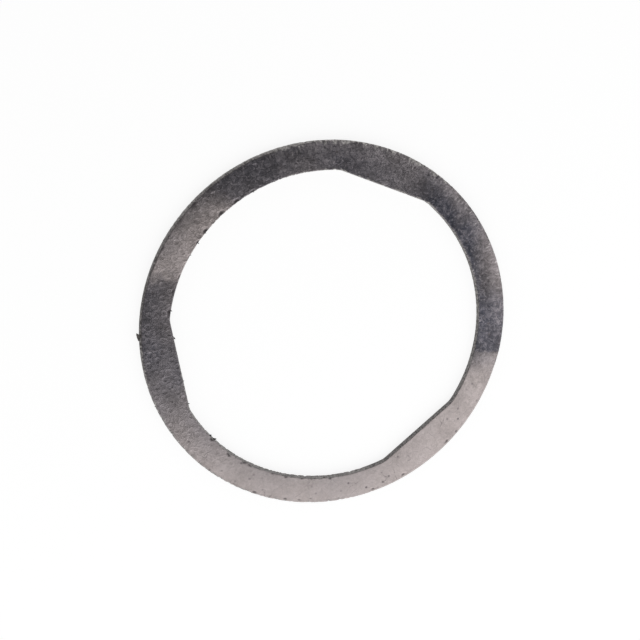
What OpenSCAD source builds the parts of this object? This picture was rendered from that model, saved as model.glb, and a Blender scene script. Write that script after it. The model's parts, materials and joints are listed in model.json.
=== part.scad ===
// Flat ring gasket, cut in one piece from a faced sheet.
// The outside is round. The bore is round too, with straight flats that stand in from it,
// and each end of a flat runs into the round of the bore through a small blend.
// The ring lies on its lower face, centred on the origin, with +Z along its axis.

/* [Ring] */
// Outside diameter of the ring
outer_d = 100; // [80:0.5:160]
// Width of the ring from the round of the bore to the outside
ring_w = 7.5; // [4:0.25:12]
// Thickness of the sheet that the ring is cut from
sheet_t = 2; // [0.5:0.1:6]

/* [Bore flats] */
// Number of straight flats, spaced evenly round the bore
flat_count = 3; // [1:1:5]
// How far the middle of each flat stands in from the round of the bore
flat_depth = 1.9; // [0.3:0.1:3]
// Direction of the first flat, counted from +X towards +Y
first_flat_angle = 90; // [0:1:359]
// Radius of the blend at each end of a flat
blend_r = 6; // [0.5:0.5:10]

/* [Hidden] */

$fn = 180;

// Colour of the graphite facing
facing_colour = [0.45, 0.43, 0.44];

// Radius of the round of the bore, and the distance from the axis to each flat
bore_r = outer_d / 2 - ring_w;
flat_reach = bore_r - flat_depth;

// The blend circle runs this hair past the round of the bore, so that the two arcs cross cleanly
blend_bite = 0.0005;

// Centre of the blend circle, which touches the flat and the round of the bore from inside the bore
blend_x = flat_reach - blend_r;
blend_orbit = bore_r - blend_r + blend_bite;
blend_y = sqrt(pow(blend_orbit, 2) - pow(blend_x, 2));

// Point where the blend runs into the round of the bore
meet_x = blend_x * bore_r / blend_orbit;
meet_y = blend_y * bore_r / blend_orbit;

// The sides of a land run on outwards from there, to a line that clears the round of the bore
land_x = 2 * bore_r;
land_y = land_x * meet_y / meet_x;

// Land that one flat leaves standing in the round bore, with the flat square to +X
module flat_land() {
    difference() {
        polygon([
            [flat_reach, -blend_y],
            [meet_x, -meet_y],
            [land_x, -land_y],
            [land_x, land_y],
            [meet_x, meet_y],
            [flat_reach, blend_y]
        ]);
        for (side = [-1, 1])
            translate([blend_x, side * blend_y])
                circle(r = blend_r);
    }
}

// Outline of the bore: a circle less the land of each flat
module bore_outline() {
    difference() {
        circle(r = bore_r);
        for (i = [0 : flat_count - 1])
            rotate(first_flat_angle + i * 360 / flat_count)
                flat_land();
    }
}

// The whole gasket: the ring's outline, cut square through the sheet
module gasket_ring() {
    color(facing_colour)
        linear_extrude(sheet_t)
            difference() {
                circle(d = outer_d);
                bore_outline();
            }
}

gasket_ring();
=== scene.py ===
"""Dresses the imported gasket: a ring cut from graphite-faced sheet, lying flat on a pale studio floor."""

import json
import logging
import math
from dataclasses import dataclass
from enum import Enum
from functools import partial
from typing import Any, ClassVar, Sequence

import bpy
from mathutils import Matrix, Vector


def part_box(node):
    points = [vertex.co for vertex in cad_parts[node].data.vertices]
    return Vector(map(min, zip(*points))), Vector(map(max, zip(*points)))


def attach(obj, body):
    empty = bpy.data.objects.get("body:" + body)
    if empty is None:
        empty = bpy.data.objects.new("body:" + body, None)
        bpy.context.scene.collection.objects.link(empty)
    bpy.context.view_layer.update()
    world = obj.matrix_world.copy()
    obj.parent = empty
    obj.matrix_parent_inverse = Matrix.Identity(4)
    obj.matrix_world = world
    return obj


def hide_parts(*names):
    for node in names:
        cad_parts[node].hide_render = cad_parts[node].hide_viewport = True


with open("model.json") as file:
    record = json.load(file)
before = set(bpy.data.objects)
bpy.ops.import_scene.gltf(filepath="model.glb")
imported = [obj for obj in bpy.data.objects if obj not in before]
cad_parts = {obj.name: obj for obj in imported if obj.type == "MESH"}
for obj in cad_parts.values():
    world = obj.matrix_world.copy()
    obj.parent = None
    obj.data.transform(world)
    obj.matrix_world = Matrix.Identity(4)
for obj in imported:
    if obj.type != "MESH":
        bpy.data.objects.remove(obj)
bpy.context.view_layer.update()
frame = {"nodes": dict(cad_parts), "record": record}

MM = 0.001
RING_NODE = "gasket_ring"
BODY = "root"

# How far a point of the bore may lie outside its round
SLACK = 0.1 * MM

# Blender's names for the kinds of node that the trees use most
MATH = "ShaderNodeMath"
VECTOR_MATH = "ShaderNodeVectorMath"
MAP_RANGE = "ShaderNodeMapRange"
MIX = "ShaderNodeMix"
NOISE = "ShaderNodeTexNoise"
VORONOI = "ShaderNodeTexVoronoi"
COMBINE = "ShaderNodeCombineXYZ"

# Names of the mesh attributes that carry the ring's wear, with its painted shade and highlights, to its finish
BURNISH_AND_SHADE = "burnish"
CUT_EDGE = "cut_edge"
CHIPPED_AND_SHADED = "chipped"
SCUFFED_AND_HIGHLIT = "scuffed"
FRAYED = "frayed"
HANDLED = "handled"
PRINTED = "printed"

# Values by degrees round the ring, a tree's inputs with kind and value by name, and what can feed a node
Stations = list[tuple[float, float]]
Inputs = dict[str, tuple[str, Any]]
Source = bpy.types.Node | bpy.types.NodeSocket

log = logging.getLogger("gasket")


class Edge(Enum):
    """The two cut edges of the ring."""

    BORE = "bore"
    RIM = "rim"


def linear(hex_colour: str) -> tuple[float, float, float, float]:
    """Turns an sRGB colour into the linear colour that a shader takes.

    Args:
        hex_colour: Six hex digits, such as "808080".

    Returns:
        Linear red, green and blue, with an alpha of 1.
    """
    channels = [int(hex_colour[i:i + 2], 16) / 255 for i in (0, 2, 4)]
    red, green, blue = (c / 12.92 if c <= 0.04045 else ((c + 0.055) / 1.055) ** 2.4 for c in channels)
    return red, green, blue, 1.0


def add_node(tree: bpy.types.NodeTree, kind: str, inputs: dict[str | int, Any] | Sequence[Any] = (),
             operation: str = "", **settings: Any) -> bpy.types.Node:
    """Adds a node to a tree, with its settings, its values and its links.

    Args:
        tree: The node tree that the node goes into.
        kind: Blender's name for the kind of node.
        inputs: A value, a socket or a node for each input, in the node's order or by the input's name or number.
            A node gives its first output.
        operation: What a maths node does.
        **settings: Properties of the node itself.

    Returns:
        The new node.
    """
    node = tree.nodes.new(kind)
    if operation:
        node.operation = operation
    for name, value in settings.items():
        setattr(node, name, value)
    for key, value in inputs.items() if isinstance(inputs, dict) else enumerate(inputs):
        socket = node.inputs[key] if isinstance(key, int) else next(
            s for s in node.inputs if s.name == key and s.enabled)
        if isinstance(value, bpy.types.Node):
            value = next(s for s in value.outputs if s.enabled)
        if isinstance(value, bpy.types.NodeSocket):
            tree.links.new(value, socket)
        else:
            socket.default_value = value
    return node


def shape_curve(node: bpy.types.Node, points: list[tuple[float, float]]) -> None:
    """Lays a curve node's line through points, straight from one to the next.

    Args:
        node: A Float Curve node.
        points: Two or more points, in rising order of their first value.
    """
    node.mapping.use_clip = False
    line = node.mapping.curves[0]
    while len(line.points) < len(points):
        line.points.new(0.5, 0.0)
    for point, place in zip(line.points, points):
        point.location = place
        point.handle_type = "VECTOR"
    node.mapping.update()


def link_mesh(name: str, mesh: bpy.types.Mesh | None = None) -> bpy.types.Object:
    """Puts a mesh, or an empty one, into the scene as an object at the origin.

    Args:
        name: The object's name.
        mesh: The mesh, if there is one.

    Returns:
        The new object.
    """
    obj = bpy.data.objects.new(name, mesh or bpy.data.meshes.new(name))
    bpy.context.scene.collection.objects.link(obj)
    return obj


def look_from(azimuth: float, elevation: float, distance: float, aim: tuple[float, float, float],
              roll: float = 0.0) -> Matrix:
    """Places a camera or a light so that it looks at a point.

    Args:
        azimuth: Direction from the point, round from +X, in radians.
        elevation: Height above the floor from the point, in radians.
        distance: Distance from the point.
        aim: The point.
        roll: Turn about the line of sight, in radians.

    Returns:
        The matrix of the camera or light.
    """
    back = Vector((math.cos(elevation) * math.cos(azimuth), math.cos(elevation) * math.sin(azimuth),
                   math.sin(elevation)))
    side = Vector((0, 0, 1)).cross(back).normalized()
    up = back.cross(side)
    right = math.cos(roll) * side + math.sin(roll) * up
    top = math.cos(roll) * up - math.sin(roll) * side
    return Matrix.Translation(Vector(aim) + distance * back) @ Matrix((right, top, back)).transposed().to_4x4()


def new_tree(name: str, inputs: Inputs) -> tuple[bpy.types.NodeTree, dict[str, str]]:
    """Starts a Geometry Nodes tree with its named inputs.

    Args:
        name: The tree's name.
        inputs: The tree's inputs.

    Returns:
        The tree, and the identifier of each input by name.
    """
    tree = bpy.data.node_groups.new(name, "GeometryNodeTree")
    tree.interface.new_socket(name="Geometry", in_out="OUTPUT", socket_type="NodeSocketGeometry")
    return tree, {key: tree.interface.new_socket(name=key, in_out="INPUT", socket_type="NodeSocket" + kind).identifier
                  for key, (kind, _) in inputs.items()}


def run_tree(name: str, tree: bpy.types.NodeTree, names: dict[str, str], inputs: Inputs) -> bpy.types.Object:
    """Runs a finished tree, keeps what it makes as a plain mesh, and removes the objects that went into it.

    Args:
        name: The new object's name.
        tree: The tree.
        names: The identifier of each input by name.
        inputs: The tree's inputs.

    Returns:
        The new object, without modifiers.
    """
    obj = link_mesh(name)
    modifier = obj.modifiers.new(name, "NODES")
    modifier.node_group = tree
    for key, (_, value) in inputs.items():
        modifier[names[key]] = value
    graph = bpy.context.evaluated_depsgraph_get()
    mesh = bpy.data.meshes.new_from_object(obj.evaluated_get(graph))
    obj.modifiers.clear()
    obj.data = mesh
    mesh.name = name
    for kind, value in inputs.values():
        if kind == "Object":
            bpy.data.objects.remove(value)
    return obj


@dataclass(frozen=True)
class PrintLattice:
    """The prints that the hooked core leaves in the facing, on a square lattice.

    Attributes:
        pitch: Distance from one print to the next.
        turn: Angle of the lattice's rows from +X, in radians.
        stray: How far a print strays from its place, as a share of the pitch.
        radius: Radius of a print's lip.
        vary: How far that radius may be off.
    """

    pitch: float = 2.5 * MM
    turn: float = math.radians(63.4)
    stray: float = 0.4
    radius: float = 0.8 * MM
    vary: float = 0.16 * MM

    def cells(self, tree: bpy.types.NodeTree, place: Source, feature: str = "F1") -> bpy.types.Node:
        """Adds the lattice to a tree, so that mesh and finish share one pattern.

        Args:
            tree: A Geometry Nodes or shader tree.
            place: The node or socket that gives the point on the sheet, in metres.
            feature: "F1" for the nearest print, or "DISTANCE_TO_EDGE" for the border between two prints.

        Returns:
            A Voronoi node. Its distance is in pitches, and with "F1" its colour is random for each print.
        """
        turned = add_node(tree, "ShaderNodeVectorRotate", {"Vector": place, "Angle": -self.turn},
                          rotation_type="Z_AXIS")
        return add_node(tree, VORONOI, {"Vector": turned, "Scale": 1 / self.pitch, "Randomness": self.stray},
                        voronoi_dimensions="2D", feature=feature)

    def share(self, tree: bpy.types.NodeTree, cells: bpy.types.Node, luck: bpy.types.NodeSocket) -> bpy.types.Node:
        """Adds the distance from the middle of a print, as a share of that print's own radius.

        Args:
            tree: The tree that the lattice is in.
            cells: The lattice's node for the nearest print.
            luck: A random value for each print.

        Returns:
            A node that gives 0 in the middle of the print and 1 on its lip.
        """
        own = add_node(tree, MAP_RANGE, (luck, 0.0, 1.0, (self.radius - self.vary) / self.pitch,
                                         (self.radius + self.vary) / self.pitch))
        return add_node(tree, MATH, (cells, own), "DIVIDE")


@dataclass(frozen=True)
class GraphiteFacing:
    """Expanded graphite foil rolled onto the core: a soft dark metal, burnished where it was rubbed.

    The rolling leaves a satin grey sheen with a faint warm cast. Rubbed stretches are smoother, darker and cooler, with
    pale scuffs where flakes have lifted. The darker, cooler colour is painted shade and the lighter satin colour
    painted light, where the bent face turns from the lamp or to it. The pale lip rings, streaks and flecks are painted
    highlights, and the dark line along the rim's fold is painted shade. Some prints hold a dark pit, and the cut edge
    is dull: it shows torn foil.
    Fibres, tears, streaks and scratches are finer on real foil: here they are as coarse as they need to be to show.
    """

    satin_lit: str = "C4BAB8"
    burnished_shaded: str = "595A64"
    scuff: str = "D8CED2"
    fleck_glint: str = "F0E9EA"
    pit: str = "787274"
    torn_dark: str = "494645"
    torn_pale: str = "E2DDDB"
    bruise_and_shade: str = "453F42"
    satin_roughness: float = 0.40
    burnished_roughness: float = 0.25
    torn_roughness: float = 0.62
    foil_metallic: float = 0.95
    torn_metallic: float = 0.25
    relief: float = 0.08 * MM
    cloud: float = 7.0 * MM
    flake: float = 1.2 * MM
    fibre: float = 0.5 * MM
    tear: float = 0.6 * MM
    stroke: float = 1.7 * MM
    stroke_bend: float = 0.9 * MM
    streak_width: float = 0.40 * MM
    streak_length: float = 1.2 * MM
    clump: float = 3.0 * MM
    wrinkle_width: float = 1.3 * MM
    wrinkle_length: float = 3.5 * MM
    scratch: float = 6.0 * MM
    pit_radius: float = 0.50 * MM

    def material(self, lattice: PrintLattice, rim_r: float) -> bpy.types.Material:
        """Makes the finish.

        Args:
            lattice: The prints that the pits stand in.
            rim_r: Radius of the ring's outside, which the streaks are spaced round.

        Returns:
            The new material.
        """
        material = bpy.data.materials.new("rolled_graphite_foil")
        material.use_nodes = True
        tree = material.node_tree
        add = partial(add_node, tree)
        shader = tree.nodes["Principled BSDF"]
        place = add("ShaderNodeTexCoord").outputs["Object"]
        burnish, cut, chipped, near_edge, frayed, handled, printed = (
            add("ShaderNodeAttribute", attribute_name=name).outputs["Fac"]
            for name in (BURNISH_AND_SHADE, CUT_EDGE, CHIPPED_AND_SHADED, SCUFFED_AND_HIGHLIT, FRAYED, HANDLED, PRINTED))

        # Cloudy patches of thicker and thinner foil, the flakes that it is pressed from, and their torn fibres
        cloud = add(NOISE, {"Vector": place, "Scale": 1 / self.cloud, "Detail": 5.0, "Roughness": 0.65})
        flake = add(NOISE, {"Vector": place, "Scale": 1 / self.flake, "Detail": 4.0, "Roughness": 0.7,
                            "Distortion": 1.2})
        fibre = add(NOISE, {"Vector": place, "Scale": 1 / self.fibre, "Detail": 2.0, "Roughness": 0.6,
                            "Distortion": 2.5})

        # Burnish with ragged borders, so that the satin and the rubbed stretches run into each other. The two colours
        # are painted light and painted shade: the satin lighter, the rubbed stretches darker
        ragged = add(MATH, (cloud, 0.4, burnish), "MULTIPLY_ADD")
        rubbed_and_shaded = add(MATH, (ragged, 0.2), "SUBTRACT", use_clamp=True)
        sheet = add(MIX, {"Factor": rubbed_and_shaded, "A": linear(self.satin_lit), "B": linear(self.burnished_shaded)}, data_type="RGBA")

        # Flakes show more where the foil was handled
        grain = add(MATH, (fibre, 0.6, flake), "MULTIPLY_ADD")
        uneven = add(MATH, (cloud, 1.2, grain), "MULTIPLY_ADD")
        spread = add(MAP_RANGE, (uneven, 1.05, 1.75, -1.0, 1.0), clamp=False)
        contrast = add(MAP_RANGE, (handled, 0.0, 1.0, 0.18, 0.58), clamp=False)
        shade = add(MATH, (spread, contrast, 1.0), "MULTIPLY_ADD")
        flaked = add(MIX, {"Factor": 1.0, "A": sheet, "B": shade}, data_type="RGBA", blend_type="MULTIPLY")

        # Streaks that run across the ring: the way out from the axis, taken round and outwards at two scales
        flat = add(VECTOR_MATH, (place, (1.0, 1.0, 0.0)), "MULTIPLY")
        ahead = add(VECTOR_MATH, (flat,), "NORMALIZE")
        reach = add(VECTOR_MATH, (flat,), "LENGTH")
        outwards = add(MATH, (reach, 1 / self.streak_length), "MULTIPLY")
        lengthwise = add(COMBINE, {"Z": outwards})
        drawn = add(VECTOR_MATH, (ahead, (rim_r / self.streak_width,) * 3, lengthwise), "MULTIPLY_ADD")
        streak = add(NOISE, {"Vector": drawn, "Scale": 1.0, "Detail": 2.0, "Roughness": 0.6, "Distortion": 0.5})

        # Where the foil was handled most, they gather in pale patches towards the edge: painted highlights, where
        # lifted flakes catch the light
        clump = add(NOISE, {"Vector": place, "Scale": 1 / self.clump, "Detail": 2.0, "Roughness": 0.6})
        gathered = add(MAP_RANGE, (clump, 0.45, 0.56))
        drawn_out = add(MAP_RANGE, (streak, 0.42, 0.6, 0.15))
        streaked = add(MATH, (gathered, drawn_out), "MULTIPLY")
        often = add(MAP_RANGE, (handled, 0.8, 1.2))
        towards = add(MATH, (near_edge, often), "MULTIPLY")
        streak_highlights = add(MATH, (streaked, towards), "MULTIPLY")

        # A few short bright flecks lie there too: painted glints
        bits = add(VORONOI, {"Vector": drawn, "Scale": 0.4})
        bright = add(MAP_RANGE, (bits, 0.32, 0.16))
        fleck_glints = add(MATH, (bright, towards), "MULTIPLY")

        # Pale scuffs in patches, and more of them along the edges that were rubbed most and along the rim's painted
        # highlight
        patch = add(MATH, (near_edge, 0.12, cloud), "MULTIPLY_ADD")
        thin = add(MAP_RANGE, (patch, 0.46, 0.68, 0.0, 0.7))
        lifted = add(MAP_RANGE, (grain, 0.74, 0.98))
        scuffed = add(MATH, (thin, lifted), "MULTIPLY")

        # Short pale strokes where the edge of a flake stands up
        bend = add(NOISE, {"Vector": place, "Scale": 1 / self.flake, "Detail": 1.0})
        bent = add(VECTOR_MATH, (bend.outputs["Color"], (self.stroke_bend,) * 3, place), "MULTIPLY_ADD")
        seam = add(VORONOI, {"Vector": bent, "Scale": 1 / self.stroke}, feature="DISTANCE_TO_EDGE")
        line = add(MAP_RANGE, (seam, 0.14, 0.03))
        some = add(MAP_RANGE, (flake, 0.48, 0.6, 0.0, 0.3))
        stroke = add(MATH, (line, some), "MULTIPLY")
        marks = add(MATH, (scuffed, stroke), "MAXIMUM")
        worn = add(MATH, (marks, handled), "MULTIPLY")
        # Scuffs, with the streaks of painted highlight over them
        scuffs_and_streak_highlights = add(MATH, (worn, streak_highlights), "MAXIMUM")

        # A dark pit in some of the prints, where a hook's tip comes near the surface
        cells = lattice.cells(tree, place)
        chance = add("ShaderNodeSeparateColor", {"Color": cells.outputs["Color"]})
        near = add(MAP_RANGE, (cells, self.pit_radius / lattice.pitch, 0.3 * self.pit_radius / lattice.pitch),
                   interpolation_type="SMOOTHSTEP")
        picked = add(MAP_RANGE, (chance.outputs["Green"], 0.74, 1.0))
        pitted = add(MATH, (near, picked), "MULTIPLY")

        # The lip of each print is a thin ring of painted highlight, paler than the sheet and broken here and there,
        # where its slope would catch the light
        share = lattice.share(tree, cells, chance.outputs["Blue"])
        off_lip = add(MATH, (share, 1.0), "SUBTRACT")
        beside = add(MATH, (off_lip,), "ABSOLUTE")
        ring = add(MAP_RANGE, (beside, 0.24, 0.0), interpolation_type="SMOOTHSTEP")
        kept = add(MAP_RANGE, (flake, 0.34, 0.48))
        whole = add(MATH, (ring, kept), "MULTIPLY")
        lip = add(MATH, (whole, printed), "MULTIPLY")
        lip_highlight_share = add(MATH, (lip, 0.08), "MULTIPLY")

        # Thin curved scratches, along the level lines of a slow noise and only here and there
        wander = add(NOISE, {"Vector": place, "Scale": 1 / self.scratch, "Detail": 1.0})
        level = add(MATH, (wander, 0.5, 0.006), "COMPARE")
        rare = add(MAP_RANGE, (flake, 0.47, 0.56, 0.0, 0.55))
        scored = add(MATH, (level, rare), "MULTIPLY")

        # The marks lie over the foil one by one, each in its own colour, and last the dark chips. The pale lips,
        # streaks and flecks among them are painted highlights, and the chips carry the painted shade of the rim's fold
        # too
        marked = flaked
        for mark, tint in ((scuffs_and_streak_highlights, self.scuff), (fleck_glints, self.fleck_glint), (lip_highlight_share, self.scuff), (pitted, self.pit),
                           (scored, self.pit), (chipped, self.bruise_and_shade)):
            marked = add(MIX, {"Factor": mark, "A": marked, "B": linear(tint)}, data_type="RGBA")

        # The cut edge shows torn foil, paler where it is frayed or scuffed, and where the rim carries its painted
        # highlight
        tear = add(NOISE, {"Vector": place, "Scale": 1 / self.tear, "Detail": 3.0, "Roughness": 0.7})
        fraying = add(MAP_RANGE, (frayed, 0.0, 0.5, -0.064, 0.086))
        loosened = add(MATH, (tear, fraying), "ADD")
        loose = add(MATH, (near_edge, 0.25, loosened), "MULTIPLY_ADD")
        darkest = add(MAP_RANGE, (near_edge, 0.0, 1.0, 0.32, 0.68))
        palest = add(MAP_RANGE, (near_edge, 0.0, 1.0, 1.0, 0.94))
        tears = add(MAP_RANGE, (loose, darkest, palest))
        torn = add(MIX, {"Factor": tears, "A": linear(self.torn_dark), "B": linear(self.torn_pale)}, data_type="RGBA")
        colour = add(MIX, {"Factor": cut, "A": marked, "B": torn}, data_type="RGBA")
        bare = add(MATH, (cut, chipped), "MAXIMUM")
        tree.links.new(colour.outputs[2], shader.inputs["Base Color"])

        gloss = add(MIX, {"Factor": rubbed_and_shaded, "A": self.satin_roughness, "B": self.burnished_roughness})
        patchy = add(MATH, (flake, 0.16, gloss), "MULTIPLY_ADD")
        dull = add(MIX, {"Factor": bare, "A": patchy, "B": self.torn_roughness})
        tree.links.new(dull.outputs[0], shader.inputs["Roughness"])
        metal = add(MIX, {"Factor": bare, "A": self.foil_metallic, "B": self.torn_metallic})
        tree.links.new(metal.outputs[0], shader.inputs["Metallic"])

        # Flakes, fibres and the fine edge of the lips as bump
        flakes = add(MATH, (fibre, 0.5, flake), "MULTIPLY_ADD")
        edged = add(MATH, (lip, 0.18, flakes), "MULTIPLY_ADD")

        # Between the prints the foil is drawn into fine wrinkles, which run across the ring
        further = add(MATH, (reach, 1 / self.wrinkle_length), "MULTIPLY")
        runs = add(COMBINE, {"Z": further})
        round_it = add(VECTOR_MATH, (ahead, (rim_r / self.wrinkle_width,) * 3, runs), "MULTIPLY_ADD")
        wrinkle = add(NOISE, {"Vector": round_it, "Scale": 1.0, "Detail": 1.0, "Distortion": 0.6})
        drawn_up = add(MATH, (wrinkle, printed), "MULTIPLY")
        relief = add(MATH, (drawn_up, 0.7, edged), "MULTIPLY_ADD")

        # The bump is pressed a little smoother where the prints show most
        grained = add(MAP_RANGE, (handled, 0.0, 1.0, 0.8, 0.84))
        rough = add(MATH, (printed, -0.25, grained), "MULTIPLY_ADD")
        bump = add("ShaderNodeBump", {"Strength": rough, "Distance": self.relief, "Height": relief})
        tree.links.new(bump.outputs["Normal"], shader.inputs["Normal"])
        return material


@dataclass(frozen=True)
class HookSteel:
    """Bare spring steel of the core's hooks: dark, with a grey sheen and a trace of graphite on it."""

    bright: str = "6A6764"
    smeared: str = "2E2C2C"
    smear: float = 0.4 * MM

    def material(self) -> bpy.types.Material:
        """Makes the finish and returns it."""
        material = bpy.data.materials.new("bare_core_steel")
        material.use_nodes = True
        tree = material.node_tree
        add = partial(add_node, tree)
        shader = tree.nodes["Principled BSDF"]
        place = add("ShaderNodeTexCoord").outputs["Object"]
        smear = add(NOISE, {"Vector": place, "Scale": 1 / self.smear, "Detail": 3.0})
        colour = add(MIX, {"Factor": smear.outputs["Fac"], "A": linear(self.smeared), "B": linear(self.bright)},
                     data_type="RGBA")
        tree.links.new(colour.outputs[2], shader.inputs["Base Color"])
        shader.inputs["Metallic"].default_value = 1.0
        rough = add(MAP_RANGE, (smear.outputs["Fac"], 0.0, 1.0, 0.6, 0.35))
        tree.links.new(rough.outputs["Result"], shader.inputs["Roughness"])
        return material


@dataclass
class GasketRing:
    """The die-cut ring, with its flats, prints, creases and worn edges.

    Attributes:
        rim_r: Radius of the outside.
        bore_r: Radius of the round of the bore.
        flat_reach: Distance from the axis to each flat.
        thickness: Thickness of the sheet.
        flat_step: Angle from one flat to the next, in radians.
        first_flat: Direction of the first flat, in radians.
        corner_blend: How far the corner between flat and round is eased.
        roll_height: How far the upper face may roll, up or down at each edge.
        ragged: How far the deepest bite goes into a torn edge.
        crease_skew: How far a crease slants across the ring, in degrees, at -X and at +X.
        crease_reach: How far from a crease its wandering can be felt, in degrees.
        torn_reach: How far from an edge the sheet is torn.
        torn_bare: How far the face is bare beside a torn edge.
        broken_bare: How far it is bare beside an edge that is scuffed as well.
        chip_faint: Size of the faintest chip, and of one at full strength after it.
        drift_length: Size of the noise that creases, chips and the shoulder wander by.
        fringe_length: Size of the bites in a torn edge.
        fold_width: Breadth of the line of painted shade along the fold of the pressed rim.
        steps_crowd: How far the steps of the section crowd towards its corners.
    """

    rim_r: float
    bore_r: float
    flat_reach: float
    thickness: float
    flat_step: float = math.radians(120)
    first_flat: float = math.radians(90)
    corner_blend: float = 0.42 * MM
    rim_round: float = 0.30 * MM
    bore_round: float = 0.16 * MM
    under_round: float = 0.12 * MM
    shoulder_drop: float = 0.40 * MM
    shoulder_width: float = 0.50 * MM
    print_depth: float = 0.036 * MM
    roll_height: float = 0.16 * MM
    wave_height: float = 0.06 * MM
    wave_length: float = 11.0 * MM
    drift_length: float = 2.0 * MM
    crease_skew: tuple[float, float] = (3.4, 1.0)
    crease_reach: float = 12.0
    ragged: float = 0.50 * MM
    fringe_length: float = 0.8 * MM
    torn_reach: float = 1.4 * MM
    torn_bare: float = 0.6 * MM
    broken_bare: float = 2.0 * MM
    fold_width: float = 0.4 * MM
    chip_depth: float = 0.18 * MM
    chip_faint: tuple[float, float] = (0.2 * MM, 0.6 * MM)
    steps_round: int = 1340
    steps_top: int = 40
    steps_under: int = 8
    steps_wall: int = 5
    steps_edge: int = 3
    steps_crowd: float = 0.4

    # Each list below runs round the ring in degrees: this one says how far the section rolls, above 0 outside up
    ROLL: ClassVar[Stations] = [
        (0, -0.7), (3, -0.9), (10, 1.0), (40, 0.5), (80, -0.4), (130, -0.4), (160, 0.4), (175.5, 1.0), (184, -1.0),
        (215, -0.8), (255, -0.3), (320, -0.3), (360, -0.7),
    ]
    # How far the facing is burnished at the bore and at the rim. This also paints shade into the colour: darker where
    # the face turns from the light, lighter where it faces it, with steps at the creases
    RUBBED_AND_SHADED_BORE: ClassVar[Stations] = [
        (0, 0.13), (6, 0.63), (8, 0.72), (11.2, 0.97), (30, 1.0), (40, 0.97), (50, 1.18), (54, 1.24), (60, 1.02),
        (66, 1.45), (74, 0.95), (82, 0.71), (95, 0.78), (108, 0.86), (120, 0.57), (133, 0.8), (146, 0.69),
        (152, -0.15), (164, -0.14), (177, -0.05), (182, 0.56), (192, 0.6), (205, 0.72), (216, 0.79), (224, 0.56),
        (236, 0.57), (250, 0.32), (270, 0.3), (280, 0.2), (292, 0.3), (310, 0.19), (340, 0.09), (350, 0.14),
        (360, 0.13),
    ]
    RUBBED_AND_SHADED_RIM: ClassVar[Stations] = [
        (0, -0.13), (6, 0.26), (8, 0.32), (11.2, 0.93), (26, 0.82), (34, 0.25), (42, 0.22), (50, 0.48), (54, 0.82),
        (60, 0.57), (66, 0.38), (74, 0.8), (82, 0.6), (95, 0.64), (108, 0.74), (120, 0.85), (144, 0.9), (156, 0.53),
        (164, 0.39), (170, 0.42), (177, 0.09), (182, 0.82), (192, 0.85), (204, 0.92), (212, 0.67), (222, 0.54),
        (230, 0.23), (246, 0.03), (270, 0.05), (280, 0.0), (292, 0.11), (308, 0.0), (340, -0.05), (350, -0.05),
        (360, -0.13),
    ]
    # How clearly the prints show
    PRINTS: ClassVar[Stations] = [
        (0, 0.25), (10, 0.35), (60, 0.35), (112, 0.4), (136, 0.9), (170, 1.0), (182, 0.9), (230, 0.85), (250, 0.5),
        (275, 0.3), (360, 0.25),
    ]
    # How far the foil was handled
    HANDLING: ClassVar[Stations] = [
        (0, 0.5), (4, 0.7), (8, 0.85), (11.4, 0.85), (25, 0.92), (40, 1.2), (52, 1.12), (65, 1.02), (80, 1.02),
        (100, 0.9), (120, 1.2), (140, 1.05), (150, 0.85), (168, 0.75), (180, 0.75), (225, 0.58), (245, 0.3),
        (265, 0.15), (335, 0.15), (350, 0.25), (360, 0.5),
    ]
    # How ragged the cut edges are
    FRAY: ClassVar[Stations] = [
        (0, 0.15), (62, 0.2), (76, 0.7), (122, 0.8), (134, 0.35), (158, 0.35), (170, 0.05), (196, 0.05), (206, 0.4),
        (240, 0.5), (256, 1.0), (298, 1.0), (308, 0.05), (345, 0.05), (360, 0.15),
    ]
    # How far the rim is pressed down
    SHOULDER: ClassVar[Stations] = [(0, 0.1), (100, 0.2), (125, 1.0), (200, 1.0), (214, 0.2), (360, 0.1)]
    # How far the rim is scuffed pale; round 205° to 235° the pale line along the rim is a painted highlight
    SCUFF_AND_RIM_HIGHLIGHT: ClassVar[Stations] = [
        (0, 0.0), (12, 0.3), (30, 1.0), (114, 1.0), (130, 0.1), (180, 0.0), (195, 0.3), (205, 0.7), (235, 0.7),
        (250, 0.0), (360, 0.0),
    ]
    # Where the sheet is creased across, how far the finish and its painted shade part there, how broad the crease is
    # and how far it wanders
    CREASES: ClassVar[list[tuple[float, float, float, float]]] = [(9.2, 1.7, 0.6, 3.0), (179.4, 0.5, 2.0, 8.0)]
    # Small chips beside the cut edges: degrees round the ring, then distance from the edge and size in millimetres
    CHIPS: ClassVar[dict[Edge, list[tuple[float, float, float]]]] = {
        Edge.RIM: [(252.7, 0.3, 0.35), (257.3, 0.6, 0.35), (264.8, 0.6, 0.45), (275.3, 0.7, 0.4), (280.0, 0.9, 0.3),
                   (283.9, 1.3, 0.35), (293.5, 0.8, 0.3), (305.4, 0.9, 0.35), (316.6, 0.9, 0.35), (335.1, 0.7, 0.4),
                   (9.7, 0.2, 0.4), (149.3, 0.5, 0.7), (155.2, 0.5, 0.8), (161.4, 0.4, 0.7), (171.1, 0.4, 0.7),
                   (180.6, 0.3, 0.5)],
        Edge.BORE: [(130.6, 0.0, 0.5), (138.5, 0.2, 0.6), (145.2, 0.4, 0.75), (151.9, 0.5, 0.8), (159.2, 0.4, 0.7),
                    (164.0, 0.1, 0.6), (169.3, 0.0, 0.5), (177.1, 0.3, 0.4), (182.5, 0.6, 0.6), (189.8, 0.4, 0.9),
                    (240.9, 0.2, 0.6), (249.5, 0.5, 0.55), (256.2, 0.1, 0.5), (258.6, 0.3, 0.5), (267.9, 0.1, 0.4),
                    (273.4, 0.2, 0.5), (279.5, 0.1, 0.5), (290.4, 0.1, 0.4)],
    }

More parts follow.
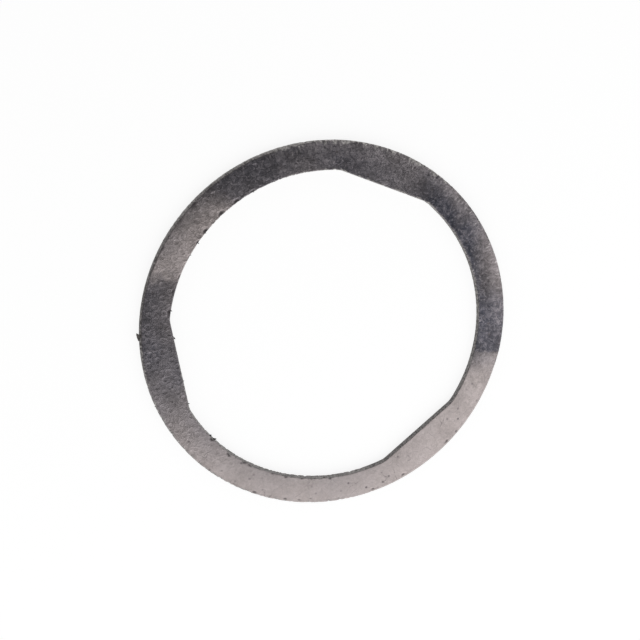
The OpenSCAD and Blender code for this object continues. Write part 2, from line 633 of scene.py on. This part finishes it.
    @classmethod
    def from_frame(cls) -> "GasketRing":
        """Reads the ring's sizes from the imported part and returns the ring."""
        bore_r = next(m["dims"]["r_mm"] * MM for m in frame["record"]["mounts"] if m["name"] == "keyed_bore")
        low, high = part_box(RING_NODE)
        bore = [v.co for v in frame["nodes"][RING_NODE].data.vertices if v.co.xy.length < bore_r + SLACK]
        return cls(rim_r=min(high.x, high.y, -low.x, -low.y), bore_r=bore_r, flat_reach=max(p.y for p in bore),
                   thickness=high.z - low.z)

    def bore_at(self, angle: float) -> float:
        """Gives the radius of the bore, without its corner blends.

        Args:
            angle: Direction from the axis, in radians.

        Returns:
            The distance from the axis to the bore there.
        """
        off = (angle - self.first_flat + self.flat_step / 2) % self.flat_step - self.flat_step / 2
        return min(self.bore_r, self.flat_reach / math.cos(off))

    def edge_point(self, edge: Edge, degrees: float, height: float) -> Vector:
        """Gives a point on a cut edge.

        Args:
            edge: Which of the two edges.
            degrees: Direction from the axis.
            height: Height above the floor.

        Returns:
            The point.
        """
        angle = math.radians(degrees)
        radius = self.rim_r if edge is Edge.RIM else self.bore_at(angle)
        return Vector((radius * math.cos(angle), radius * math.sin(angle), height))

    def section(self) -> bpy.types.Object:
        """Makes the ring's section as a closed curve: +X outwards and -Y up, with rounded corners and closer steps.

        Returns:
            The curve's object.
        """
        half, top = (self.rim_r - self.bore_r) / 2, self.thickness
        corners = [(half, top, self.rim_round, 90, self.steps_wall), (half, 0.0, self.under_round, 0, self.steps_under),
                   (-half, 0.0, self.under_round, -90, self.steps_wall),
                   (-half, top, self.bore_round, -180, self.steps_top)]
        arcs = []
        for x, up, r, start, _ in corners:
            cx, cy = x - math.copysign(r, x), up - r if up else up + r
            turns = [math.radians(start - 90 * i / self.steps_edge) for i in range(self.steps_edge + 1)]
            arcs.append([(cx + r * math.cos(a), cy + r * math.sin(a)) for a in turns])
        points = []
        for arc, following, corner in zip(arcs, arcs[1:] + arcs[:1], corners):
            points += arc
            (x0, u0), (x1, u1), steps = arc[-1], following[0], corner[-1]
            shares = [i / steps - self.steps_crowd * math.sin(math.tau * i / steps) / math.tau for i in range(1, steps)]
            points += [(x0 + (x1 - x0) * t, u0 + (u1 - u0) * t) for t in shares]
        curve = bpy.data.curves.new("ring_section", "CURVE")
        line = curve.splines.new("POLY")
        line.points.add(len(points) - 1)
        for point, (x, up) in zip(line.points, points):
            point.co = (x, -up, 0.0, 1.0)
        line.use_cyclic_u = True
        obj = bpy.data.objects.new("ring_section", curve)
        bpy.context.scene.collection.objects.link(obj)
        return obj

    def chip_places(self) -> bpy.types.Object:
        """Makes a mesh with one point and one size for each chip, in the plain ring unrolled to half its length.

        The ring is plain because the flats aren't cut in it yet, and at half its length a round place is a long chip.

        Returns:
            The mesh's object.
        """
        points, sizes = [], []
        for edge, places in self.CHIPS.items():
            for degrees, inset, size in places:
                radius = self.rim_r - inset * MM if edge is Edge.RIM else self.bore_r + inset * MM
                points.append((math.radians((degrees + 180) % 360 - 180) * self.rim_r / 2, radius, self.thickness))
                sizes.append(size * MM)
        mesh = bpy.data.meshes.new("edge_chips")
        mesh.from_pydata(points, [], [])
        mesh.attributes.new("size", "FLOAT", "POINT").data.foreach_set("value", sizes)
        return link_mesh("edge_chips", mesh)

    def inputs(self, facing: bpy.types.Material) -> Inputs:
        """Gives the inputs of the ring's tree.

        Args:
            facing: The finish of faces and edges.

        Returns:
            The kind and the value of each input by name.
        """
        sizes = {"Rim radius": self.rim_r, "Bore radius": self.bore_r, "Flat reach": self.flat_reach,
                 "Flat step": self.flat_step, "First flat": self.first_flat, "Corner blend": self.corner_blend,
                 "Thickness": self.thickness, "Rim round": self.rim_round, "Bore round": self.bore_round,
                 "Shoulder drop": self.shoulder_drop, "Shoulder width": self.shoulder_width,
                 "Print depth": self.print_depth, "Roll height": self.roll_height, "Wave height": self.wave_height,
                 "Wave length": self.wave_length, "Ragged": self.ragged, "Chip depth": self.chip_depth}
        return {"Section": ("Object", self.section()), "Chips": ("Object", self.chip_places()),
                "Facing": ("Material", facing), "Steps round": ("Int", self.steps_round),
                **{name: ("Float", size) for name, size in sizes.items()}}

    def tree(self, lattice: PrintLattice, inputs: Inputs) -> tuple[bpy.types.NodeTree, dict[str, str]]:
        """Builds the tree that sweeps the section round the axis and wears the ring.

        Args:
            lattice: The prints in both faces.
            inputs: The tree's inputs.

        Returns:
            The tree, and the identifier of each of its inputs by name.
        """
        tree, names = new_tree("gasket_ring", inputs)
        add = partial(add_node, tree)
        given = add("NodeGroupInput").outputs

        # Sweep the section round the middle of the ring
        width = add(MATH, (given["Rim radius"], given["Bore radius"]), "SUBTRACT")
        middle = add(MATH, (width, 0.5, given["Bore radius"]), "MULTIPLY_ADD")
        path = add("GeometryNodeCurvePrimitiveCircle", {"Resolution": given["Steps round"], "Radius": middle})
        section = add("GeometryNodeObjectInfo", {"Object": given["Section"]})
        ring = add("GeometryNodeCurveToMesh", {"Curve": path, "Profile Curve": section.outputs["Geometry"]})

        # Where a point is: round, across and up the section
        spot = add("GeometryNodeInputPosition")
        xyz = add("ShaderNodeSeparateXYZ", {"Vector": spot}).outputs
        flat = add(COMBINE, {"X": xyz["X"], "Y": xyz["Y"]})
        reach = add(VECTOR_MATH, (flat,), "LENGTH")
        angle = add(MATH, (xyz["Y"], xyz["X"]), "ARCTAN2")
        across = add(MAP_RANGE, (reach, given["Bore radius"], given["Rim radius"]))
        from_middle = add(MATH, (across, 0.5), "SUBTRACT")
        up = add(MATH, (xyz["Z"], given["Thickness"]), "DIVIDE")

        # The bore: a round, less a flat at each step, with the corner between them eased
        off = add(MATH, (angle, given["First flat"]), "SUBTRACT")
        half_step = add(MATH, (given["Flat step"], 0.5), "MULTIPLY")
        minus_half = add(MATH, (half_step, -1.0), "MULTIPLY")
        swing = add(MATH, (off, half_step, minus_half), "WRAP")
        cosine = add(MATH, (swing,), "COSINE")
        flat_r = add(MATH, (given["Flat reach"], cosine), "DIVIDE")
        bore = add(MATH, (given["Bore radius"], flat_r, given["Corner blend"]), "SMOOTH_MIN")
        radius = add(MIX, {"Factor": across, "A": bore, "B": given["Rim radius"]})

        # Stations round the ring in degrees, skewed so that the creases lie across it at their own slant
        lean = add(MATH, (angle,), "COSINE")
        skew = add(MAP_RANGE, (lean, -1.0, 1.0, self.crease_skew[0], self.crease_skew[1]))
        shift = add(MATH, (from_middle, skew), "MULTIPLY")
        degrees = add(MATH, (angle,), "DEGREES")
        skewed = add(MATH, (degrees, shift), "SUBTRACT")
        station = add(MATH, (skewed, 360.0, 0.0), "WRAP")

        # A crease wanders, and beside it the stations are drawn apart, so that the finish and its painted shade change
        # there at once
        drift = add(NOISE, {"Vector": spot, "Scale": 1 / self.drift_length, "Detail": 3.0})
        astray = add(MATH, (drift, 0.5), "SUBTRACT")
        parted = station
        for crease, part, breadth, wander in self.CREASES:
            straight = add(MATH, (station, crease), "SUBTRACT")
            far = add(MATH, (straight,), "ABSOLUTE")
            close = add(MAP_RANGE, (far, 0.0, self.crease_reach, wander, 0.0))
            strays = add(MATH, (astray, close), "MULTIPLY")
            past = add(MATH, (straight, strays), "SUBTRACT")
            away = add(MATH, (past,), "ABSOLUTE")
            push = add(MAP_RANGE, (away, 0.0, 2 * part, part, 0.0))
            side = add(MAP_RANGE, (past, -breadth, breadth, -1.0), interpolation_type="SMOOTHSTEP")
            jump = add(MATH, (push, side, parted), "MULTIPLY_ADD")
            parted = add(MATH, (jump, strays), "SUBTRACT")
        wear = {}
        for name, stations, along in (("roll", self.ROLL, station), ("bore rub", self.RUBBED_AND_SHADED_BORE, parted),
                                      ("rim rub", self.RUBBED_AND_SHADED_RIM, parted), ("prints", self.PRINTS, station),
                                      ("fray", self.FRAY, station), ("shoulder", self.SHOULDER, station),
                                      ("scuff", self.SCUFF_AND_RIM_HIGHLIGHT, station), ("handled", self.HANDLING, parted)):
            turn = add(MATH, (along, 360.0), "DIVIDE")
            wear[name] = add("ShaderNodeFloatCurve", {"Value": turn})
            shape_curve(wear[name], [(place / 360, value) for place, value in stations])
        # Burnish, whose colour carries painted shade as well as the rubbing
        rubbed_and_shaded = add(MIX, {"Factor": across, "A": wear["bore rub"], "B": wear["rim rub"]}, clamp_factor=True)

        # How near a point is to a cut edge
        to_rim = add(MATH, (1.0, across), "SUBTRACT")
        to_edge = add(MATH, (across, to_rim), "MINIMUM")
        edge_gap = add(MATH, (to_edge, width), "MULTIPLY")
        rim_gap = add(MATH, (to_rim, width), "MULTIPLY")
        margin = add(MAP_RANGE, (edge_gap, 0.0, self.torn_reach, 1.0, 0.0))

        # Torn edges, bitten into the sheet and more so at the bore
        ahead = add(VECTOR_MATH, (flat,), "NORMALIZE")
        at_bore = add(VECTOR_MATH, {0: ahead, "Scale": given["Bore radius"]}, "SCALE")
        level = add(COMBINE, {"Z": xyz["Z"]})
        on_wall = add(VECTOR_MATH, (at_bore, level), "ADD")
        fringe = add(NOISE, {"Vector": on_wall, "Scale": 1 / self.fringe_length, "Detail": 3.0, "Roughness": 0.65})
        bite = add(MAP_RANGE, (fringe, 0.48, 0.75))
        torn = add(MATH, (bite, wear["fray"]), "MULTIPLY")
        torn_in = add(MATH, (torn, margin), "MULTIPLY")
        deep = add(MATH, (torn_in, given["Ragged"]), "MULTIPLY")
        inward = add(MAP_RANGE, (across, 0.0, 1.0, 1.0, -0.8))
        frayed = add(MATH, (deep, inward, radius), "MULTIPLY_ADD")
        grow = add(MATH, (frayed, reach), "DIVIDE")
        moved = add(VECTOR_MATH, {0: flat, "Scale": grow}, "SCALE")

        # Scuffs: broad along the rim, and one thin line along the bore; along the rim they also carry a painted
        # highlight
        rim_band = add(MAP_RANGE, (across, 0.5))
        bore_band = add(MAP_RANGE, (across, 0.0, 0.08, 0.7, 0.0))
        bands = add(MATH, (rim_band, bore_band), "MAXIMUM")
        scuffed = add(MATH, (bands, wear["scuff"]), "MULTIPLY")

        # Where the foil is cut through: the walls, and a little of the face where the edge is torn or scuffed
        rounding = add(MIX, {"Factor": across, "A": given["Bore round"], "B": given["Rim round"]})
        turned_down = add(MATH, (rounding, 0.3), "MULTIPLY")
        worst = add(MAP_RANGE, (torn, 0.15, 1.0, 0.0, self.torn_bare))
        broken = add(MAP_RANGE, (fringe, 0.45, 0.6, 0.0, self.broken_bare))
        opened = add(MATH, (broken, wear["fray"]), "MULTIPLY")
        worn = add(MATH, (scuffed, opened, worst), "MULTIPLY_ADD")
        to_fold = add(MATH, (given["Shoulder width"], wear["shoulder"]), "MULTIPLY")
        sloping = add(MATH, (to_fold, across, turned_down), "MULTIPLY_ADD")
        bared = add(MATH, (worn, sloping), "ADD")
        bare_from = add(MATH, (bared, 0.5), "MULTIPLY")
        cut = add(MAP_RANGE, (edge_gap, bare_from, bared, 1.0, 0.0), interpolation_type="SMOOTHSTEP")

        # Chips, which take the face down beside an edge
        chips = add("GeometryNodeObjectInfo", {"Object": given["Chips"]}).outputs["Geometry"]
        half_rim = add(MATH, (given["Rim radius"], 0.5), "MULTIPLY")
        along = add(MATH, (angle, half_rim), "MULTIPLY")
        unrolled = add(COMBINE, {"X": along, "Y": reach, "Z": xyz["Z"]})
        nearest = add("GeometryNodeProximity", {"Geometry": chips, "Sample Position": unrolled},
                      target_element="POINTS").outputs["Distance"]
        which = add("GeometryNodeSampleNearest", {"Geometry": chips, "Sample Position": unrolled}, domain="POINT")
        sizes = add("GeometryNodeInputNamedAttribute", {"Name": "size"}, data_type="FLOAT")
        size = add("GeometryNodeSampleIndex", {"Geometry": chips, "Value": sizes, "Index": which}, data_type="FLOAT",
                   domain="POINT")
        strength = add(MAP_RANGE, (size, self.chip_faint[0], self.chip_faint[1], 0.25))
        notch = add(MATH, (astray, -1.5), "MULTIPLY")
        chip_edge = add(MATH, (notch, size, nearest), "MULTIPLY_ADD")
        chip = add(MAP_RANGE, (chip_edge, 0.0, size, strength, 0.0), interpolation_type="SMOOTHSTEP")
        chip_down = add(MATH, (chip, given["Chip depth"]), "MULTIPLY")

        # Prints: a shallow dent with a low lip, deeper in some than in others
        cells = lattice.cells(tree, moved)
        luck = add("FunctionNodeSeparateColor", {"Color": cells.outputs["Color"]})
        share = lattice.share(tree, cells, luck.outputs["Blue"])
        dent = add("ShaderNodeFloatCurve", {"Value": share})
        shape_curve(dent, [(0.0, -0.4), (0.25, -0.7), (0.5, -0.9), (0.8, 0.1), (1.0, 0.6), (1.15, 0.5), (1.45, 0.0),
                           (3.0, 0.0)])
        chance = add(MAP_RANGE, (luck.outputs["Red"], 0.0, 1.0, 0.3, 1.2))
        force = add(MATH, (chance, wear["prints"]), "MULTIPLY")
        border = lattice.cells(tree, moved, "DISTANCE_TO_EDGE").outputs["Distance"]
        inside = add(MAP_RANGE, (border, 0.0, 0.14), interpolation_type="SMOOTHSTEP")
        ease = add(MATH, (force, inside), "MULTIPLY")
        pressed = add(MATH, (dent, ease), "MULTIPLY")
        printed = add(MATH, (pressed, given["Print depth"]), "MULTIPLY")

        # The upper face: rolled a little between its creases, with low waves and a pressed shoulder at the rim
        rolled = add(MATH, (from_middle, wear["roll"]), "MULTIPLY")
        tilt = add(MATH, (rolled, 2.0), "MULTIPLY")
        tilted = add(MATH, (tilt, given["Roll height"], printed), "MULTIPLY_ADD")
        per_wave = add(MATH, (1.0, given["Wave length"]), "DIVIDE")
        swell = add(NOISE, {"Vector": moved, "Scale": per_wave, "Detail": 1.0})
        heave = add(MATH, (swell, 0.5), "SUBTRACT")
        waved = add(MATH, (heave, given["Wave height"], tilted), "MULTIPLY_ADD")
        sunk = add(MATH, (waved, given["Roll height"]), "SUBTRACT")
        slope = add(MAP_RANGE, (rim_gap, 0.0, given["Shoulder width"], 1.0, 0.0))
        press = add(MAP_RANGE, (drift, 0.3, 0.7, 0.4, 1.6))
        uneven = add(MATH, (slope, press), "MULTIPLY")
        sloped = add(MATH, (uneven, wear["shoulder"]), "MULTIPLY")
        drop = add(MATH, (sloped, given["Shoulder drop"], chip_down), "MULTIPLY_ADD")
        chipped = add(MATH, (sunk, drop), "SUBTRACT")

        # Painted shade along the fold of the pressed rim, in a broken dark line
        fold = add(MAP_RANGE, (rim_gap, self.shoulder_width, self.shoulder_width + self.fold_width, 0.6, 0.0),
                   interpolation_type="SMOOTHSTEP")
        folded = add(MATH, (fold, press), "MULTIPLY")
        fold_shade_line = add(MATH, (folded, wear["shoulder"]), "MULTIPLY")
        # Real chips and the painted shade of the fold go to the finish together
        chips_and_fold_shade = add(MATH, (chip, fold_shade_line), "MAXIMUM")

        # The face stays under the sheet's own thickness
        capped = add(MATH, (chipped, 0.0), "MINIMUM")
        tall = add(MATH, (given["Thickness"], capped), "ADD")
        raised = add(MATH, (up, tall), "MULTIPLY")

        # The lower face keeps its plane, with the prints pressed up into it
        under = add(MATH, (1.0, up), "SUBTRACT")
        pressed_up = add(MATH, (printed, -1.0), "MULTIPLY")
        dented = add(MATH, (pressed_up, 0.0), "MAXIMUM")
        height = add(MATH, (under, dented, raised), "MULTIPLY_ADD")

        # What the finish needs to know is stored before the points move
        lift = add(COMBINE, {"Z": height})
        target = add(VECTOR_MATH, (moved, lift), "ADD")
        stored = ring
        for name, value in ((BURNISH_AND_SHADE, rubbed_and_shaded), (CUT_EDGE, cut), (CHIPPED_AND_SHADED, chips_and_fold_shade), (SCUFFED_AND_HIGHLIT, scuffed),
                            (FRAYED, wear["fray"]), (HANDLED, wear["handled"]), (PRINTED, wear["prints"])):
            stored = add("GeometryNodeStoreNamedAttribute", {"Geometry": stored, "Name": name, "Value": value},
                         data_type="FLOAT", domain="POINT")
        placed = add("GeometryNodeSetPosition", {"Geometry": stored, "Position": target})
        smooth = add("GeometryNodeSetShadeSmooth", {"Geometry": placed})
        real = add("GeometryNodeRealizeInstances", {"Geometry": smooth})
        faced = add("GeometryNodeSetMaterial", {"Geometry": real, "Material": given["Facing"]})
        add("NodeGroupOutput", {"Geometry": faced})
        return tree, names

    def build(self, lattice: PrintLattice, facing: bpy.types.Material) -> bpy.types.Object:
        """Builds the ring and dresses it.

        Args:
            lattice: The prints in both faces.
            facing: The finish of faces and edges.

        Returns:
            The ring's object.
        """
        inputs = self.inputs(facing)
        obj = run_tree("ring_sheet", *self.tree(lattice, inputs), inputs)
        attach(obj, BODY)
        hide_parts(RING_NODE)
        return obj


@dataclass(frozen=True)
class Tang:
    """One hook of the core whose tip stands out of a cut edge.

    Attributes:
        edge: The edge that it stands out of.
        degrees: Where it stands, round the ring.
        length: Length of the tip, with the part that is in the sheet.
        lean: Degrees that it leans along the edge, from straight out.
        rise: Degrees that it points upwards.
        height: Height of its root above the floor, as a share of the sheet's thickness.
    """

    edge: Edge
    degrees: float
    length: float
    lean: float = 0.0
    rise: float = 15.0
    height: float = 0.6


@dataclass
class TangTips:
    """The hook tips that the die left standing out of the cut edges.

    Attributes:
        ring: The ring that they stand on.
        width: Width of a tip as a share of its length.
        thick: Thickness of a tip as a share of its length.
        root: How far a tip's foot stands in the sheet.
    """

    ring: GasketRing
    width: float = 0.45
    thick: float = 0.20
    root: float = 0.30 * MM

    TIPS: ClassVar[list[Tang]] = [
        Tang(Edge.RIM, 199.6, 2.4 * MM, lean=-66, rise=6, height=0.53),
        Tang(Edge.RIM, 168.8, 0.7 * MM, lean=20),
        Tang(Edge.RIM, 221.0, 0.6 * MM, lean=-25),
        Tang(Edge.BORE, 198.9, 1.1 * MM, lean=-35, rise=18),
        Tang(Edge.BORE, 240.0, 1.2 * MM, lean=25, rise=22),
        Tang(Edge.BORE, 241.4, 1.3 * MM, lean=-30, rise=16),
        Tang(Edge.BORE, 130.6, 0.6 * MM, lean=15),
        Tang(Edge.BORE, 138.3, 0.7 * MM, lean=-20),
        Tang(Edge.BORE, 160.3, 0.7 * MM, lean=30),
        Tang(Edge.BORE, 164.1, 0.8 * MM, lean=-10),
        Tang(Edge.BORE, 169.3, 0.7 * MM, lean=25),
        Tang(Edge.BORE, 189.4, 0.8 * MM, lean=-15),
        Tang(Edge.BORE, 216.2, 0.7 * MM, lean=20),
        Tang(Edge.BORE, 224.7, 0.7 * MM, lean=-20),
        Tang(Edge.BORE, 263.0, 0.6 * MM, lean=35),
        Tang(Edge.BORE, 281.0, 0.6 * MM, lean=-30),
        Tang(Edge.BORE, 288.5, 0.7 * MM, lean=25),
    ]

    def one_tip(self) -> bpy.types.Object:
        """Makes one tip of length 1 along +X: a strip that narrows to a point and curls upwards.

        Returns:
            The tip's object.
        """
        verts, faces = [], []
        for x, share, curl in ((0.0, 1.0, 0.0), (0.4, 0.85, 0.03), (0.75, 0.5, 0.12)):
            y, z = self.width / 2 * share, self.thick / 2 * (0.5 + 0.5 * share)
            verts += [(x, -y, curl - z), (x, y, curl - z), (x, y, curl + z), (x, -y, curl + z)]
        verts.append((1.0, 0.0, 0.28))
        faces.append((3, 2, 1, 0))
        for ring in (0, 4):
            faces += [(ring + i, ring + (i + 1) % 4, ring + 4 + (i + 1) % 4, ring + 4 + i) for i in range(4)]
        faces += [(8 + i, 8 + (i + 1) % 4, 12) for i in range(4)]
        mesh = bpy.data.meshes.new("one_tip")
        mesh.from_pydata(verts, [], faces)
        return link_mesh("one_tip", mesh)

    def seats(self) -> bpy.types.Object:
        """Makes a mesh with one point at the root of each tip, and its direction and length as attributes.

        Returns:
            The mesh's object.
        """
        points, values = [], {"heading": [], "rise": [], "length": []}
        for tip in self.TIPS:
            out = math.radians(tip.degrees) + (0.0 if tip.edge is Edge.RIM else math.pi)
            foot = self.ring.edge_point(tip.edge, tip.degrees, tip.height * self.ring.thickness)
            points.append(foot - self.root * Vector((math.cos(out), math.sin(out), 0.0)))
            values["heading"].append(out + math.radians(tip.lean))
            values["rise"].append(-math.radians(tip.rise))
            values["length"].append(tip.length)
        mesh = bpy.data.meshes.new("tip_seats")
        mesh.from_pydata(points, [], [])
        for name, numbers in values.items():
            mesh.attributes.new(name, "FLOAT", "POINT").data.foreach_set("value", numbers)
        return link_mesh("tip_seats", mesh)

    def build(self, steel: bpy.types.Material) -> bpy.types.Object:
        """Builds the tips as one mesh and dresses them.

        Args:
            steel: The finish of the tips.

        Returns:
            The tips' object.
        """
        inputs = {"Seats": ("Object", self.seats()), "Tip": ("Object", self.one_tip()), "Steel": ("Material", steel)}
        tree, names = new_tree("tang_tips", inputs)
        add = partial(add_node, tree)
        given = add("NodeGroupInput").outputs
        seats = add("GeometryNodeObjectInfo", {"Object": given["Seats"]}).outputs["Geometry"]
        tip = add("GeometryNodeObjectInfo", {"Object": given["Tip"]}).outputs["Geometry"]
        heading, rise, length = (add("GeometryNodeInputNamedAttribute", {"Name": name}, data_type="FLOAT")
                                 for name in ("heading", "rise", "length"))
        euler = add(COMBINE, {"Y": rise, "Z": heading})
        turn = add("FunctionNodeEulerToRotation", {"Euler": euler})
        size = add(COMBINE, {"X": length, "Y": length, "Z": length})
        tips = add("GeometryNodeInstanceOnPoints", {"Points": seats, "Instance": tip, "Rotation": turn,
                                                    "Scale": size})
        real = add("GeometryNodeRealizeInstances", {"Geometry": tips})
        dressed = add("GeometryNodeSetMaterial", {"Geometry": real, "Material": given["Steel"]})
        add("NodeGroupOutput", {"Geometry": dressed})
        obj = run_tree("tang_tips", tree, names, inputs)
        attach(obj, BODY)
        return obj


@dataclass(frozen=True)
class Viewpoint:
    """The camera: where it stands, how it is turned, and its lens."""

    azimuth: float = math.radians(151.6)
    elevation: float = math.radians(69.6)
    roll: float = math.radians(137.1)
    distance: float = 225 * MM
    aim: tuple[float, float, float] = (-3.94 * MM, 2.09 * MM, 2.0 * MM)
    lens: float = 47.84
    sensor: float = 36.0
    clip_start: float = 10 * MM

    def build(self) -> bpy.types.Object:
        """Makes the camera, gives it to the scene and returns it."""
        data = bpy.data.cameras.new("studio_camera")
        data.lens = self.lens
        data.sensor_width = self.sensor
        data.clip_start = self.clip_start
        camera = bpy.data.objects.new("studio_camera", data)
        bpy.context.scene.collection.objects.link(camera)
        camera.matrix_world = look_from(self.azimuth, self.elevation, self.distance, self.aim, self.roll)
        bpy.context.scene.camera = camera
        return camera


@dataclass(frozen=True)
class Studio:
    """The pale floor, the surroundings and one large soft light."""

    floor_half: float = 6.0
    floor_drop: float = 0.02 * MM
    floor_colour: str = "E6E6E6"
    floor_shade: str = "8A8A8A"
    floor_glow: float = 0.86
    horizon: float = 1.0
    zenith: float = 0.14
    zenith_from: float = 0.75
    panel_azimuth: float = math.radians(313)
    panel_elevation: float = math.radians(41)
    panel_distance: float = 0.60
    panel_size: tuple[float, float] = (1.6, 0.60)
    panel_level: float = 1.0

    def build(self) -> None:
        """Makes the floor, the surroundings and the light."""
        bpy.context.scene.view_settings.view_transform = "Standard"
        self.floor()
        self.surroundings()
        self.panel()

    def floor(self) -> bpy.types.Object:
        """Makes the floor just under the ring and returns it."""
        h = self.floor_half
        mesh = bpy.data.meshes.new("studio_floor")
        mesh.from_pydata([(-h, -h, -self.floor_drop), (h, -h, -self.floor_drop), (h, h, -self.floor_drop),
                          (-h, h, -self.floor_drop)], [], [(0, 1, 2, 3)])
        obj = link_mesh("studio_floor", mesh)
        material = bpy.data.materials.new("white_paper")
        material.use_nodes = True
        tree = material.node_tree
        add = partial(add_node, tree)
        tree.nodes.remove(tree.nodes["Principled BSDF"])
        path = add("ShaderNodeLightPath").outputs
        seen = add(MATH, (path["Is Camera Ray"], path["Is Glossy Ray"]), "MAXIMUM")
        shown = add(MATH, (seen, path["Is Transmission Ray"]), "MAXIMUM")
        paper = add("ShaderNodeBsdfDiffuse", {"Color": linear(self.floor_colour)})
        veil = add("ShaderNodeBsdfDiffuse", {"Color": linear(self.floor_shade)})
        glow = add("ShaderNodeEmission", {"Color": (1.0, 1.0, 1.0, 1.0), "Strength": self.floor_glow})
        white = add("ShaderNodeAddShader", (veil, glow))
        both = add("ShaderNodeMixShader", (shown, paper, white))
        tree.links.new(both.outputs[0], tree.nodes["Material Output"].inputs["Surface"])
        mesh.materials.append(material)
        return obj

    def surroundings(self) -> None:
        """Makes the world: white at the horizon and dim overhead."""
        world = bpy.data.worlds.new("studio_surroundings")
        bpy.context.scene.world = world
        world.use_nodes = True
        tree = world.node_tree
        way = add_node(tree, "ShaderNodeTexCoord").outputs["Generated"]
        rise = add_node(tree, "ShaderNodeSeparateXYZ", {"Vector": way}).outputs["Z"]
        level = add_node(tree, MAP_RANGE, (rise, 0.0, self.zenith_from, self.horizon, self.zenith),
                         interpolation_type="SMOOTHSTEP")
        tree.links.new(level.outputs["Result"], tree.nodes["Background"].inputs["Color"])

    def panel(self) -> bpy.types.Object:
        """Makes the soft light, turned to the ring, and returns it."""
        data = bpy.data.lights.new("soft_panel", "AREA")
        data.shape = "RECTANGLE"
        data.size, data.size_y = self.panel_size
        data.energy = self.panel_level * math.pi * data.size * data.size_y
        obj = bpy.data.objects.new("soft_panel", data)
        bpy.context.scene.collection.objects.link(obj)
        obj.matrix_world = look_from(self.panel_azimuth, self.panel_elevation, self.panel_distance, (0.0, 0.0, 0.0))
        obj.visible_camera = False
        return obj


def report(piece: bpy.types.Object) -> None:
    """Logs a piece's name and size."""
    log.info("%s: %d faces, %.2f x %.2f x %.2f mm", piece.name, len(piece.data.polygons),
             *(side / MM for side in piece.dimensions))


def main() -> None:
    """Builds the ring and the studio."""
    logging.basicConfig(level=logging.INFO)
    lattice = PrintLattice()
    ring = GasketRing.from_frame()
    Viewpoint().build()
    Studio().build()
    report(ring.build(lattice, GraphiteFacing().material(lattice, ring.rim_r)))
    report(TangTips(ring).build(HookSteel().material()))


if __name__ == "__main__":
    main()
